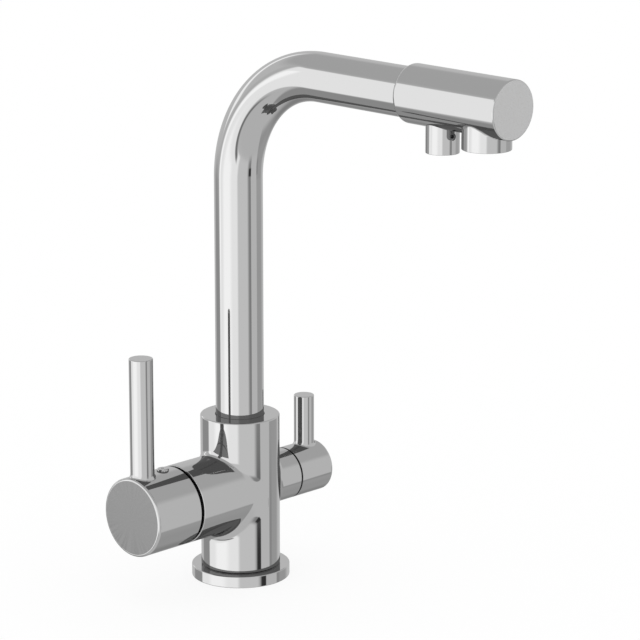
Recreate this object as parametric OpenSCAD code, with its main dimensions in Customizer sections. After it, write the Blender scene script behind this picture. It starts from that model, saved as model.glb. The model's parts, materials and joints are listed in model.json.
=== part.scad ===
// Three way filtered water tap: a column body with a right angled swivel spout,
// a mixer handle for hot and cold water and a small lever for filtered water.
// The spout carries filtered water in its own inner tube, out of its own nozzle.
// The origin is at the centre of the base underside, on the worktop. +Z is up,
// the spout points to -Y, the mixer handle to -X and the filtered water handle to +X.

/* [Base ring] */
// Radius of the base ring
base_r = 28.7; // [27:0.1:31]
// Thickness of the base ring
base_t = 6.9; // [6:0.1:9]
// Radial width of the base ring, from its rim to the spigot that carries it
base_ring_w = 9.4; // [8.9:0.1:10.2]
// Rounding of the base ring's edges
base_edge = 0.5; // [0.2:0.1:1]
// Radial width of the gasket under the base ring
gasket_w = 3.5; // [2.5:0.1:4]
// Height of the gasket
gasket_t = 2; // [1.2:0.1:3]
// Distance from the rim of the base ring to the gasket
gasket_inset = 2.5; // [2:0.1:3]

/* [Column] */
// Radius of the column
column_r = 23.1; // [22.5:0.1:25.5]
// Height of the column top above the worktop
column_h = 97.9; // [94:0.1:110]
// Rounding of the column's top edge
column_edge = 0.8; // [0.3:0.1:1.5]
// Chamfer at the foot of the column
foot_chamfer = 0.8; // [0.3:0.1:1.5]
// Height of the two arms' common axis above the worktop
arm_z = 53.6; // [51:0.1:56]

/* [Inlet block] */
// Wall of the column's foot round the block that holds the stud and the hose ends
foot_wall = 3.3; // [2.4:0.1:3.6]
// Height of the block, which the three hose threads go right through
block_h = 20; // [18:0.5:24]
// Wall radius of the thread for the fixing stud
stud_hole_r = 3.4; // [3:0.05:3.6]
// Depth of the thread for the fixing stud
stud_hole_depth = 14; // [10:0.5:16]
// Wall radius of the threads for the hot and cold hoses
hose_hole_r = 4.5; // [4:0.05:4.8]
// Wall radius of the thread for the filtered water hose
filter_hole_r = 3.5; // [3:0.05:4]
// Wall between the hose threads and the block's outside
inlet_wall = 1.3; // [1:0.1:1.5]

/* [Waterways] */
// Radius of the hot, cold and mixed waterways
water_r = 3; // [2.4:0.1:3.2]
// Radius of the filtered waterways
filter_water_r = 2; // [1.5:0.1:2.3]

/* [Spout] */
// Radius of the spout tube
spout_r = 14; // [13:0.1:15]
// Wall of the spout tube
spout_wall = 1.5; // [1:0.1:2]
// Height of the spout's level run above the worktop
spout_z = 304.5; // [240:0.5:360]
// Radius of the bend, at the middle of the tube
bend_r = 66.3; // [45:0.5:80]
// Distance from the column's axis to the outlet head
head_start = 133; // [110:0.5:160]
// Depth to which the tube stands in the column
tube_sink = 6; // [4:0.1:8]
// Gap between the tube and the column's mouth
spout_gap = 0.4; // [0.3:0.05:0.8]

/* [Spout connector] */
// Radius of the connector's turned shank
connector_r = 11.5; // [11:0.1:12]
// Length of the shank below the tube
connector_len = 27.5; // [25:0.5:30]
// Length of the connector inside the tube
connector_grip = 12; // [8:0.5:18]
// Radius of the connector's water passage
connector_bore_r = 7.5; // [6:0.1:8]
// Thickness of the seal rings' rubber
seal_d = 1.6; // [1.2:0.1:1.8]
// Height of the groove that holds a seal ring
seal_groove_w = 2.4; // [2.2:0.1:3]
// Distance of the seal grooves from the two ends of the shank
seal_inset = 4; // [3:0.1:5]
// Radius of the set screw that keeps the spout in the column
set_screw_r = 2.5; // [2:0.1:3]
// Depth of the groove in which the set screw runs
set_groove_depth = 2; // [1.4:0.1:2.4]
// Thickness of the slip washer under the tube
washer_t = 1.2; // [0.8:0.1:2]

/* [Filtered water tube] */
// Outer radius of the inner tube for filtered water
inner_tube_r = 3; // [2.8:0.1:3.5]
// Bore radius of the inner tube
inner_bore_r = 2; // [1.9:0.05:2.2]
// Length of the spigot on which the inner tube turns
pipe_len = 14; // [10:0.5:16]
// Wall of the spigot
pipe_wall = 0.6; // [0.4:0.1:0.8]

/* [Outlet head] */
// Radius of the outlet head
head_r = 16.4; // [15.6:0.1:18]
// Length of the outlet head
head_len = 74.1; // [70:0.1:86]
// Length of the cone between the tube and the full head radius
head_cone_len = 4.6; // [3:0.1:7]
// Width of the step between the tube and the head's cone
head_lip = 0.4; // [0.3:0.1:0.8]
// Length of the tube inside the head
head_socket = 12.5; // [9:0.5:14]
// Wall of the head round its water chamber
head_wall = 3.2; // [2.4:0.1:3.4]
// Thickness of the end cap's visible disc
end_cap_t = 3.2; // [2.4:0.1:4]
// Rounding of the end cap's rim
end_cap_edge = 0.8; // [0.5:0.1:2]
// Length of the end cap's plug
end_plug_len = 3; // [2:0.1:3.5]
// Wall of the end cap's plug
end_plug_wall = 2; // [1.4:0.1:3]

/* [Aerator] */
// Radius of the aerator's housing
aerator_r = 13.5; // [13:0.1:14.4]
// Distance from the head's end face to the aerator's axis
aerator_from_end = 18.3; // [17.5:0.1:20]
// Distance from the spout's axis down to the aerator's rim
aerator_drop = 23.2; // [21:0.1:26]
// Height of the housing's visible collar
aerator_collar = 3.4; // [2.4:0.1:4]
// Wall of the boss outside the aerator's thread
aerator_boss_wall = 1.8; // [1.4:0.1:2.2]
// Length of the aerator's thread
aerator_thread = 5.2; // [4:0.1:6]
// Wall of the aerator's housing round its insert
aerator_wall = 1.1; // [0.8:0.1:1.4]
// Width of the lip under the aerator's insert
aerator_lip = 1.2; // [0.8:0.1:1.6]
// Thickness of the lip and of the insert's webs
aerator_web = 0.9; // [0.7:0.1:1.2]
// Thickness of the aerator's washer
aerator_washer_t = 1.4; // [1:0.1:2]

/* [Filtered water nozzle] */
// Radius of the filtered water nozzle
nozzle_r = 9.3; // [8.8:0.1:9.8]
// Distance from the head's end face to the nozzle's axis
nozzle_from_end = 49.9; // [45:0.1:54]
// Distance from the spout's axis down to the nozzle's rim
nozzle_drop = 29.5; // [27:0.1:32]
// Radius of the spigot on which the nozzle sits
nozzle_spigot_r = 7.3; // [7:0.1:7.6]
// Bore radius of the spigot
nozzle_bore_r = 4.6; // [4:0.1:5]
// Thickness of the nozzle's lip
nozzle_lip = 1; // [0.7:0.1:1.4]
// Height of the flow straightener in the nozzle
straightener_h = 3.4; // [2.6:0.1:4]
// Radius of the nozzle's grub screw
nozzle_screw_r = 2; // [1.5:0.1:2.2]
// Distance from the spout's axis down to the grub screw
nozzle_screw_drop = 19.6; // [19.2:0.1:20.5]
// Turn of the grub screw from the spout's direction towards the mixer side, in degrees
nozzle_screw_turn = 11; // [0:1:20]

/* [Mixer arm] */
// Radius of the mixer arm
mixer_r = 23; // [22.4:0.1:24]
// Length of the mixer arm outside the column's radius
mixer_out = 27.4; // [26:0.1:32]
// Gap between the arm and its handle
mixer_gap = 1.2; // [1:0.05:1.6]
// Chamfer on the arm's rim
mixer_rim = 0.4; // [0.3:0.1:0.9]
// Thickness of the arm's lip, which the tilted handle tucks into
mixer_lip = 1.1; // [0.9:0.05:1.3]
// Depth of the annular recess behind the lip
mixer_recess = 9.5; // [8.5:0.1:11]
// Radius of the threaded sleeve inside the recess
sleeve_r = 16.4; // [16:0.1:16.6]
// Distance of the sleeve's end behind the arm's end
sleeve_back = 2.5; // [2.2:0.1:3.5]

/* [Mixer cartridge] */
// Radius of the cartridge housing
cartridge_r = 12.5; // [12.2:0.1:12.8]
// Distance from the arm's end to the cartridge's seat
cartridge_depth = 24.5; // [24:0.1:25]
// Thickness of the seal under the cartridge
cartridge_seal_t = 1; // [0.8:0.1:1.4]
// Thickness of the housing's floor
cartridge_floor = 3; // [2.4:0.1:3.4]
// Radius of the housing's barrel above its shoulder
barrel_r = 11.9; // [11.8:0.05:12]
// Wall of the barrel
barrel_wall = 1; // [0.8:0.05:1.1]
// Length of the housing in front of the arm's end
barrel_out = 1; // [0.6:0.1:1.4]
// Radius of the housing's neck
neck_r = 10; // [9.8:0.1:10.2]
// Wall of the neck
neck_wall = 1.4; // [1.2:0.05:1.5]
// Length of the neck
neck_len = 13.5; // [13:0.1:14]
// Radius of the three ports
port_r = 2.6; // [2.2:0.1:2.8]
// Distance of the hot and cold ports to either side
port_side = 6.8; // [6.5:0.1:7]
// Distance of the mixed water port above the arm's axis
port_up = 5; // [4.8:0.1:5.4]
// Distance of the hot and cold ports below the arm's axis
port_down = 2; // [1.6:0.1:2.4]
// Thickness of the fixed ceramic disc
fixed_disc_t = 4; // [3.4:0.1:4.4]
// Radius of the sliding ceramic disc
slide_disc_r = 7.9; // [7.6:0.1:8]
// Thickness of the sliding ceramic disc
slide_disc_t = 3; // [2.4:0.1:3.4]
// Depth of the water channel in the sliding disc
channel_depth = 1.6; // [1:0.1:2]
// Height of the driver on the sliding disc
driver_h = 7; // [6.6:0.1:7.4]

/* [Cartridge nut] */
// Radius of the nut's thread
nut_r = 14.5; // [14.2:0.1:14.8]
// Length of the nut's thread
nut_thread = 6; // [5:0.1:6.2]
// Width across the flats of the nut's hexagon
nut_flats = 27.4; // [26.5:0.1:27.6]
// Height of the hexagon
nut_hex_h = 4; // [3:0.1:4.5]

/* [Cartridge guide and stem] */
// Radius of the guide's flange
guide_flange_r = 10.5; // [10.3:0.05:10.6]
// Thickness of the guide's flange
guide_flange_t = 3.4; // [3:0.1:3.6]
// Distance from the handle's rim out to the tilt pin
pivot_out = 11.45; // [11.2:0.05:11.8]
// Radius of the tilt pin
pin_r = 1.5; // [1.2:0.05:1.8]
// Width of the stem's bar
stem_w = 6; // [5.4:0.1:6.2]
// Width of the slot in the guide, along the tilt
slot_w = 12.6; // [12.2:0.1:13]
// Distance from the tilt pin to the middle of the stem's ball
stem_reach = 21; // [20.8:0.05:21.2]
// Angle between the stem's inner and outer parts, in degrees
stem_bend = 7.4; // [7:0.1:7.8]
// Radius of the stem's ball
ball_r = 2.5; // [2.3:0.05:2.7]
// Radius of the stem's neck above the ball
ball_neck_r = 1.7; // [1.4:0.1:1.9]
// Length of the stem's neck
ball_neck_len = 5; // [4.6:0.1:5.4]
// Width of the stem's square head
stem_head_w = 8; // [7.4:0.1:8.6]
// Length of the stem's square head inside the handle
stem_head_len = 10.5; // [8:0.5:12]

/* [Mixer handle] */
// Length of the handle's cap
mixer_cap_len = 34.3; // [33:0.1:38]
// Rounding of the cap's end
mixer_cap_edge = 1.5; // [0.8:0.1:2.2]
// Chamfer on the cap's rim
mixer_cap_rim = 1.5; // [1.2:0.1:1.6]
// Wall of the cap's skirt
mixer_cap_wall = 2.2; // [2:0.05:2.3]
// Depth of the cap's hollow
mixer_cap_depth = 17.8; // [17.4:0.1:18.4]
// Radius of the mixer lever
mixer_lever_r = 6.9; // [6:0.1:7.4]
// Distance from the cap's end face to the lever's axis
mixer_lever_inset = 8.6; // [8.4:0.1:10]
// Height of the lever's top above the arm's axis
mixer_lever_h = 92.2; // [70:0.2:110]
// Rounding of both levers' tops
lever_edge = 0.5; // [0.2:0.1:1]
// Width of the flare at both levers' feet
lever_flare = 0.8; // [0.4:0.1:1.2]
// Radius of the threaded spigots that fix the levers
lever_screw_r = 2.5; // [2:0.1:2.8]
// Length of the mixer lever's threaded spigot
mixer_screw_len = 9; // [7:0.5:11]
// Radius of the grub screws in both handles
grub_r = 2; // [1.5:0.1:2.2]
// Length of the grub screw in the mixer handle
mixer_grub_len = 8; // [6:0.5:10]
// Radius of the index plug
plug_r = 3.5; // [2.5:0.1:4]
// Distance from the cap's rim to the index plug
plug_from_rim = 9.9; // [8:0.1:12]
// Height of the index plug above the cap
plug_h = 1.2; // [0.6:0.1:1.6]
// Depth of the index plug's seat
plug_seat = 1.2; // [0.8:0.1:1.4]

/* [Filtered water arm] */
// Radius of the filtered water arm and its handle
filter_r = 15.2; // [14.8:0.1:16]
// Length of the arm outside the column's radius
filter_out = 13; // [12:0.1:18]
// Gap between the arm and its handle
filter_gap = 0.7; // [0.5:0.05:1.2]
// Chamfer on both rims of the gap
filter_rim = 0.3; // [0.2:0.1:0.8]
// Radius of the valve's thread
valve_r = 9; // [8.8:0.1:9.2]
// Depth from the arm's end to the valve's seat
valve_depth = 18; // [17:0.1:19]
// Depth of the pocket round the valve's hexagon
valve_pocket = 5; // [4:0.1:6]
// Thickness of the seal under the valve
valve_seal_t = 1.5; // [1:0.1:2]
// Distance of the filtered water ports from the arm's axis
valve_port = 3.6; // [3.4:0.1:3.8]

/* [Filtered water valve] */
// Wall of the valve body round its discs
valve_wall = 1.8; // [1.6:0.1:2]
// Width across the flats of the valve's hexagon
valve_flats = 20; // [18.8:0.1:20.4]
// Height of the hexagon above the arm's end
valve_hex_out = 1.4; // [0.8:0.1:2]
// Radius of the valve's neck
valve_neck_r = 6.4; // [6:0.1:7]
// Length of the valve's neck
valve_neck = 7; // [6:0.1:8]
// Thickness of the valve's fixed disc
valve_fixed_t = 2.5; // [2:0.1:3]
// Thickness of the valve's turning disc
valve_turn_t = 2.5; // [2:0.1:3]
// Radius of the spindle
spindle_r = 3.5; // [3:0.1:3.8]
// Thickness of the spindle's foot on the turning disc
spindle_foot_t = 2; // [1.6:0.1:2.4]
// Radius of the spindle's head in the handle
spindle_head_r = 4; // [3.8:0.1:4.4]
// Length of the spindle's head
spindle_head_len = 9; // [7:0.5:10]

/* [Filtered water handle] */
// Length of the handle's cap
filter_cap_len = 26; // [25:0.1:30]
// Rounding of the cap's end
filter_cap_edge = 1.8; // [1:0.1:3]
// Wall of the cap's skirt
filter_cap_wall = 2.2; // [1.8:0.1:2.4]
// Depth of the cap's hollow
filter_cap_depth = 9.5; // [9:0.1:11]
// Radius of the filtered water lever
filter_lever_r = 6; // [5:0.1:6.6]
// Distance from the cap's end face to the lever's axis
filter_lever_inset = 9.7; // [9:0.1:11]
// Height of the lever's top above the arm's axis
filter_lever_h = 44.9; // [35:0.1:60]
// Length of the lever's threaded spigot
filter_screw_len = 6; // [4:0.5:8]
// Length of the grub screw in the handle
filter_grub_len = 7; // [5:0.5:8]

/* [Hidden] */
$fn = 96;
// Overrun of cuts past the faces they open
over = 1;
// Radial clearance of turning and sliding fits
fit = 0.06;
// Clearance between flat faces that slide on each other
film = 0.04;
// Clearance between loosely guided pieces
guide_gap = 0.3;
// Steps in the arc of a rounded edge
edge_steps = 5;
// Sides of a hexagon, and its width across the flats as a share of that across its corners
hex_sides = 6;
flats_share = cos(180 / hex_sides);

// Base, column and inlet block, with the circle on which the three hose threads lie
spigot_r = base_r - base_ring_w;
block_r = spigot_r - foot_wall;
inlet_circle_r = block_r - inlet_wall - hose_hole_r;
hole_spacing = 120;
hot_turn = hole_spacing;
cold_turn = 2 * hole_spacing;

// Spout and connector
tube_end_z = column_h - tube_sink;
shoulder_z = tube_end_z - washer_t - film;
connector_foot_z = tube_end_z - connector_len;
socket_floor_z = connector_foot_z - film;
socket_r = connector_r + fit;
seal_r = socket_r - film - seal_d / 2;
groove_r = socket_r - film - seal_d;
seal_low_z = connector_foot_z + seal_inset;
seal_high_z = shoulder_z - seal_inset;
set_screw_z = (seal_low_z + seal_high_z) / 2;
set_groove_r = connector_r - set_groove_depth;
pipe_r = inner_bore_r - fit;
pipe_foot_z = socket_floor_z - pipe_len / 3;
pipe_top_z = pipe_foot_z + pipe_len;
inner_tube_z = socket_floor_z + guide_gap;

// Outlet head, with its places along the spout from the column's axis
head_end = head_start + head_len;
nozzle_y = head_end - nozzle_from_end;
aerator_y = head_end - aerator_from_end;
chamber_r = head_r - head_wall;
chamber_start = head_start + head_socket;
chamber_end = head_end - end_cap_t;
aerator_rim_z = spout_z - aerator_drop;
collar_z = aerator_rim_z + aerator_collar;
thread_r = aerator_r - aerator_boss_wall;
thread_top_z = collar_z + aerator_thread;
washer_top_z = thread_top_z + aerator_washer_t;
boss_top_z = washer_top_z + aerator_boss_wall;
insert_r = thread_r - aerator_wall;
throat_r = insert_r - aerator_lip;
nozzle_rim_z = spout_z - nozzle_drop;
straightener_z = nozzle_rim_z + nozzle_lip;
nozzle_spigot_z = straightener_z + straightener_h;
nozzle_screw_z = spout_z - nozzle_screw_drop;
well_r = nozzle_spigot_r + (nozzle_r - nozzle_spigot_r) / 2;
well_top_z = spout_z + inner_tube_r + head_wall;

// Mixer side, with its places along the arm from the column's axis
mixer_end = column_r + mixer_out;
mixer_rim_u = mixer_end + mixer_gap;
pivot_u = mixer_rim_u + pivot_out;
mixer_face_u = mixer_rim_u + mixer_cap_len;
seat_u = mixer_end - cartridge_depth;
housing_u = seat_u + cartridge_seal_t;
disc_u = housing_u + cartridge_floor;
slide_u = disc_u + fixed_disc_t + film;
driver_u = slide_u + slide_disc_t;
driver_top_u = driver_u + driver_h;
sleeve_end_u = mixer_end - sleeve_back;
shoulder_u = sleeve_end_u - nut_thread;
barrel_end_u = mixer_end + barrel_out;
neck_end_u = barrel_end_u + neck_len;
barrel_bore_r = barrel_r - barrel_wall;
neck_bore_r = neck_r - neck_wall;
guide_top_u = barrel_end_u - neck_wall - film;
guide_u = guide_top_u - guide_flange_t;
guide_r = neck_bore_r - guide_gap;
lip_bore_r = mixer_r - mixer_lip;
cap_bore_r = mixer_r - mixer_cap_wall;
cap_floor_u = mixer_rim_u + mixer_cap_depth;
mixer_lever_u = mixer_face_u - mixer_lever_inset;
plug_u = mixer_rim_u + plug_from_rim;
ball_u = -stem_reach;
driver_x = -stem_reach * sin(stem_bend);
ball_mid_u = pivot_u - stem_reach * cos(stem_bend);
driver_hole_r = ball_r + guide_gap / 2;

// Filtered water side, with its places along the arm from the column's axis
filter_end = column_r + filter_out;
filter_rim_u = filter_end + filter_gap;
filter_face_u = filter_rim_u + filter_cap_len;
valve_seat_u = filter_end - valve_depth;
valve_u = valve_seat_u + valve_seal_t;
valve_bore_r = valve_r - valve_wall;
turn_disc_u = valve_u + valve_fixed_t + film;
spindle_u = turn_disc_u + valve_turn_t;
valve_roof_u = spindle_u + spindle_foot_t + guide_gap;
pocket_u = filter_end - valve_pocket;
valve_hex_u = filter_end + valve_hex_out;
valve_top_u = valve_hex_u + valve_neck;
pocket_r = valve_flats / 2 / flats_share + guide_gap;
filter_bore_r = filter_r - filter_cap_wall;
filter_floor_u = filter_rim_u + filter_cap_depth;
filter_lever_u = filter_face_u - filter_lever_inset;

// Points along an arc, from angle a to angle b, round centre c
function arc(c, r, a, b) =
    [for (i = [0:edge_steps]) c + r * [cos(a + (b - a) * i / edge_steps), sin(a + (b - a) * i / edge_steps)]];

// Frames of the two arms and of the head: +Z runs outward, +X or +Y is up
module on_mixer_arm() {
    translate([0, 0, arm_z]) rotate([0, -90, 0]) children();
}

module on_filter_arm() {
    mirror([1, 0, 0]) on_mixer_arm() children();
}

module on_head() {
    translate([0, 0, spout_z]) rotate([90, 0, 0]) children();
}

module revolved(points) {
    rotate_extrude() polygon(points);
}

// A tube from one height to another
module sleeve(r, bore, low, high) {
    translate([0, 0, low]) linear_extrude(high - low) difference() {
        circle(r);
        circle(bore);
    }
}

// A round bar from one height to another
module bar(r, low, high) {
    translate([0, 0, low]) cylinder(r = r, h = high - low);
}

// A bar that starts in the middle of an arm frame and runs up it, at distance u
module upright(r, u, low, high) {
    translate([0, 0, u]) rotate([0, 90, 0]) bar(r, low, high);
}

module hexagon(flats, low, high) {
    translate([0, 0, low]) cylinder(d = flats / flats_share, h = high - low, $fn = hex_sides);
}

// A solid disc or bar whose far edge is rounded
module round_ended(r, low, high, edge) {
    revolved(concat([[0, low], [r, low]], arc([r - edge, high - edge], edge, 0, 90), [[0, high]]));
}

// A threaded grub screw with a hexagon socket at its outer end
module grub_screw(r, low, high) {
    difference() {
        bar(r, low, high);
        hexagon(r, high - r, high + over);
    }
}

// The three ports of the mixer cartridge, as places in the arm's frame
module at_ports() {
    translate([-port_down, -port_side, 0]) children();
    translate([-port_down, port_side, 0]) children();
    translate([port_up, 0, 0]) children();
}

module column_solid() {
    revolved(concat(
        [[0, 0], [spigot_r, 0], [spigot_r, base_t], [column_r - foot_chamfer, base_t],
         [column_r, base_t + foot_chamfer]],
        arc([column_r - column_edge, column_h - column_edge], column_edge, 0, 90),
        [[0, column_h]]));
}

module mixer_arm_solid() {
    on_mixer_arm() revolved([[0, 0], [mixer_r, 0], [mixer_r, mixer_end - mixer_rim],
                             [mixer_r - mixer_rim, mixer_end], [0, mixer_end]]);
}

module filter_arm_solid() {
    on_filter_arm() revolved([[0, 0], [filter_r, 0], [filter_r, filter_end - filter_rim],
                              [filter_r - filter_rim, filter_end], [0, filter_end]]);
}

// The cartridge's seat, the nut's thread and the recess behind the lip
module mixer_arm_cuts() {
    on_mixer_arm() {
        bar(cartridge_r, seat_u, mixer_end + over);
        bar(nut_r, shoulder_u, mixer_end + over);
        sleeve(lip_bore_r, sleeve_r, mixer_end - mixer_recess, mixer_end + over);
        bar(lip_bore_r, sleeve_end_u, mixer_end + over);
    }
}

module filter_arm_cuts() {
    on_filter_arm() {
        bar(valve_r, valve_seat_u, filter_end + over);
        bar(pocket_r, pocket_u, filter_end + over);
    }
}

// Hot and cold water rise from the block and turn out to the cartridge's ports,
// and mixed water comes back from the port above them to the spout's socket
module mixer_waterways() {
    for (turn = [hot_turn, cold_turn])
        rotate(turn) translate([inlet_circle_r, 0, 0]) bar(water_r, block_h - over, arm_z - port_down);
    on_mixer_arm() for (side = [-port_side, port_side])
        translate([-port_down, side, 0])
            bar(port_r, inlet_circle_r * cos(hole_spacing / 2), seat_u + over);
    on_mixer_arm() translate([port_up, 0, 0]) bar(port_r, connector_bore_r, seat_u + over);
    translate([-connector_bore_r, 0, 0]) bar(port_r, arm_z + port_up, socket_floor_z + over);
}

// Filtered water rises from the block to the valve and comes back to the centre pipe
module filter_waterways() {
    translate([inlet_circle_r, 0, 0]) bar(filter_water_r, block_h - over, arm_z - valve_port);
    on_filter_arm() translate([-valve_port, 0, 0])
        bar(filter_water_r, inlet_circle_r, valve_seat_u + over);
    on_filter_arm() translate([valve_port, 0, 0]) bar(filter_water_r, 0, valve_seat_u + over);
    bar(pipe_r, pipe_foot_z, socket_floor_z + over);
    bar(filter_water_r / 2, arm_z + valve_port, pipe_foot_z + over);
}

module body_casting() {
    color("gainsboro") difference() {
        union() {
            column_solid();
            mixer_arm_solid();
            filter_arm_solid();
        }
        bar(block_r, -over, block_h);
        bar(socket_r, socket_floor_z, column_h + over);
        bar(spout_r + spout_gap, shoulder_z, column_h + over);
        mixer_arm_cuts();
        filter_arm_cuts();
        mixer_waterways();
        filter_waterways();
        translate([0, 0, set_screw_z]) rotate([-90, 0, 0]) bar(set_screw_r, connector_r / 2, column_r + over);
    }
}

module base_ring() {
    color("gainsboro") difference() {
        revolved(concat(
            [[spigot_r, 0], [base_r - base_edge, 0]],
            arc([base_r - base_edge, base_edge], base_edge, -90, 0),
            arc([base_r - base_edge, base_t - base_edge], base_edge, 0, 90),
            [[spigot_r, base_t]]));
        gasket_solid(over);
    }
}

// The gasket's ring, which starts below the base by the given depth
module gasket_solid(below) {
    sleeve(base_r - gasket_inset, base_r - gasket_inset - gasket_w, -below, gasket_t);
}

module base_gasket() {
    color("dimgray") gasket_solid(0);
}

module inlet_block() {
    color("goldenrod") difference() {
        bar(block_r, 0, block_h);
        bar(stud_hole_r, -over, stud_hole_depth);
        for (turn = [hot_turn, cold_turn])
            rotate(turn) translate([inlet_circle_r, 0, 0]) bar(hose_hole_r, -over, block_h + over);
        translate([inlet_circle_r, 0, 0]) bar(filter_hole_r, -over, block_h + over);
    }
}

module spout_set_screw() {
    color("gray") translate([0, 0, set_screw_z]) rotate([-90, 0, 0])
        grub_screw(set_screw_r, set_groove_r + guide_gap, column_r - set_screw_r / 2);
}

module filter_pipe() {
    color("goldenrod") sleeve(pipe_r, pipe_r - pipe_wall, pipe_foot_z, pipe_top_z);
}

module cartridge_seal() {
    color("dimgray") on_mixer_arm() difference() {
        bar(cartridge_r, seat_u, housing_u);
        at_ports() bar(port_r, seat_u - over, housing_u + over);
    }
}

module cartridge_housing() {
    color("whitesmoke") on_mixer_arm() difference() {
        revolved([[0, housing_u], [cartridge_r, housing_u], [cartridge_r, shoulder_u],
                  [barrel_r, shoulder_u], [barrel_r, barrel_end_u], [neck_r, barrel_end_u],
                  [neck_r, neck_end_u], [0, neck_end_u]]);
        bar(barrel_bore_r, disc_u, barrel_end_u - neck_wall);
        bar(neck_bore_r, disc_u, neck_end_u + over);
        at_ports() bar(port_r, housing_u - over, disc_u + over);
    }
}

module cartridge_fixed_disc() {
    color("white") on_mixer_arm() difference() {
        bar(barrel_bore_r, disc_u, disc_u + fixed_disc_t);
        at_ports() bar(port_r, disc_u - over, slide_u + over);
    }
}

module cartridge_nut() {
    color("goldenrod") on_mixer_arm() difference() {
        union() {
            bar(nut_r, shoulder_u, sleeve_end_u);
            hexagon(nut_flats, sleeve_end_u, sleeve_end_u + nut_hex_h);
        }
        bar(barrel_r, shoulder_u - over, sleeve_end_u + nut_hex_h + over);
    }
}

module valve_seal() {
    color("dimgray") on_filter_arm() difference() {
        bar(valve_r, valve_seat_u, valve_u);
        for (side = [-valve_port, valve_port])
            translate([side, 0, 0]) bar(filter_water_r, valve_seat_u - over, valve_u + over);
    }
}

module valve_body() {
    color("goldenrod") on_filter_arm() difference() {
        union() {
            bar(valve_r, valve_u, pocket_u);
            hexagon(valve_flats, pocket_u, valve_hex_u);
            bar(valve_neck_r, valve_hex_u, valve_top_u);
        }
        bar(valve_bore_r, valve_u - over, valve_roof_u);
        bar(spindle_r + fit, valve_u, valve_top_u + over);
    }
}

// A ceramic disc with two opposite round windows
module window_disc(r, low, high) {
    difference() {
        bar(r, low, high);
        for (side = [0, 180]) rotate(side) translate([valve_port, 0, 0])
            bar(filter_water_r, low - over, high + over);
    }
}

module valve_fixed_disc() {
    color("white") on_filter_arm() window_disc(valve_bore_r, valve_u, valve_u + valve_fixed_t);
}

module valve_turn_disc() {
    color("white") on_filter_arm() rotate(90)
        window_disc(valve_bore_r - guide_gap, turn_disc_u, turn_disc_u + valve_turn_t);
}

module valve_spindle() {
    color("goldenrod") on_filter_arm() {
        bar(valve_bore_r - guide_gap, spindle_u, spindle_u + spindle_foot_t);
        bar(spindle_r, spindle_u + spindle_foot_t, filter_floor_u);
        bar(spindle_head_r, filter_floor_u, filter_floor_u + spindle_head_len);
    }
}

// A pipe along the spout's route: up the column's axis, round the bend and out
module spout_pipe(r, bore, foot_z, end) {
    sleeve(r, bore, foot_z, spout_z - bend_r);
    translate([0, -bend_r, spout_z - bend_r]) rotate([90, 0, 90]) rotate_extrude(angle = 90)
        translate([bend_r, 0]) difference() {
            circle(r);
            circle(bore);
        }
    on_head() sleeve(r, bore, bend_r, end);
}

module spout_tube() {
    color("gainsboro") spout_pipe(spout_r, spout_r - spout_wall, tube_end_z, chamber_start);
}

module filter_water_tube() {
    color("white") spout_pipe(inner_tube_r, inner_bore_r, inner_tube_z, nozzle_y - nozzle_bore_r);
}

module spout_connector() {
    color("goldenrod") difference() {
        union() {
            bar(connector_r, connector_foot_z, tube_end_z);
            bar(spout_r - spout_wall, tube_end_z, tube_end_z + connector_grip);
        }
        bar(connector_bore_r, connector_foot_z - over, tube_end_z + connector_grip + over);
        for (z = [seal_low_z, seal_high_z])
            sleeve(connector_r + over, groove_r, z - seal_groove_w / 2, z + seal_groove_w / 2);
        sleeve(connector_r + over, set_groove_r, set_screw_z - set_screw_r - guide_gap,
               set_screw_z + set_screw_r + guide_gap);
    }
}

module spout_seal_rings() {
    color("dimgray") for (z = [seal_low_z, seal_high_z])
        translate([0, 0, z]) rotate_extrude() translate([seal_r, 0]) circle(seal_d / 2);
}

module slip_washer() {
    color("white") sleeve(spout_r, connector_r, tube_end_z - washer_t, tube_end_z);
}

// The head's shell: a cone off the tube, a barrel, the tube's socket and the chamber
module head_shell() {
    on_head() difference() {
        revolved([[0, head_start], [spout_r + head_lip, head_start], [head_r, head_start + head_cone_len],
                  [head_r, chamber_end], [0, chamber_end]]);
        bar(spout_r, head_start - over, chamber_start);
        bar(chamber_r, chamber_start - over, head_end);
    }
}

// The aerator's boss stands in the head's floor, and the nozzle's well crosses its chamber
module outlet_head() {
    color("gainsboro") difference() {
        union() {
            head_shell();
            translate([0, -aerator_y, 0]) bar(aerator_r, collar_z, boss_top_z);
            translate([0, -nozzle_y, 0]) bar(well_r, spout_z - chamber_r, well_top_z);
            translate([0, -nozzle_y, 0]) bar(nozzle_spigot_r, nozzle_spigot_z, spout_z);
        }
        translate([0, -nozzle_y, 0]) bar(nozzle_bore_r, nozzle_rim_z, spout_z + inner_bore_r);
        on_head() bar(inner_tube_r, nozzle_y - well_r - over, nozzle_y);
        translate([0, -aerator_y, 0]) bar(thread_r, aerator_rim_z, washer_top_z);
        translate([0, -aerator_y, 0]) bar(throat_r, aerator_rim_z, spout_z);
    }
}

module head_end_cap() {
    color("gainsboro") on_head() difference() {
        union() {
            bar(chamber_r, chamber_end - end_plug_len, chamber_end + over);
            round_ended(head_r, chamber_end, head_end, end_cap_edge);
        }
        bar(chamber_r - end_plug_wall, chamber_end - end_plug_len - over, chamber_end);
        translate([0, aerator_rim_z - spout_z, aerator_y]) rotate([-90, 0, 0])
            bar(aerator_r + guide_gap, 0, boss_top_z - aerator_rim_z + guide_gap);
    }
}

module aerator_housing() {
    color("gainsboro") translate([0, -aerator_y, 0]) difference() {
        union() {
            bar(aerator_r, aerator_rim_z, collar_z);
            bar(thread_r, collar_z, thread_top_z);
        }
        bar(insert_r, aerator_rim_z + aerator_web, thread_top_z + over);
        bar(throat_r, aerator_rim_z - over, thread_top_z + over);
    }
}

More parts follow.
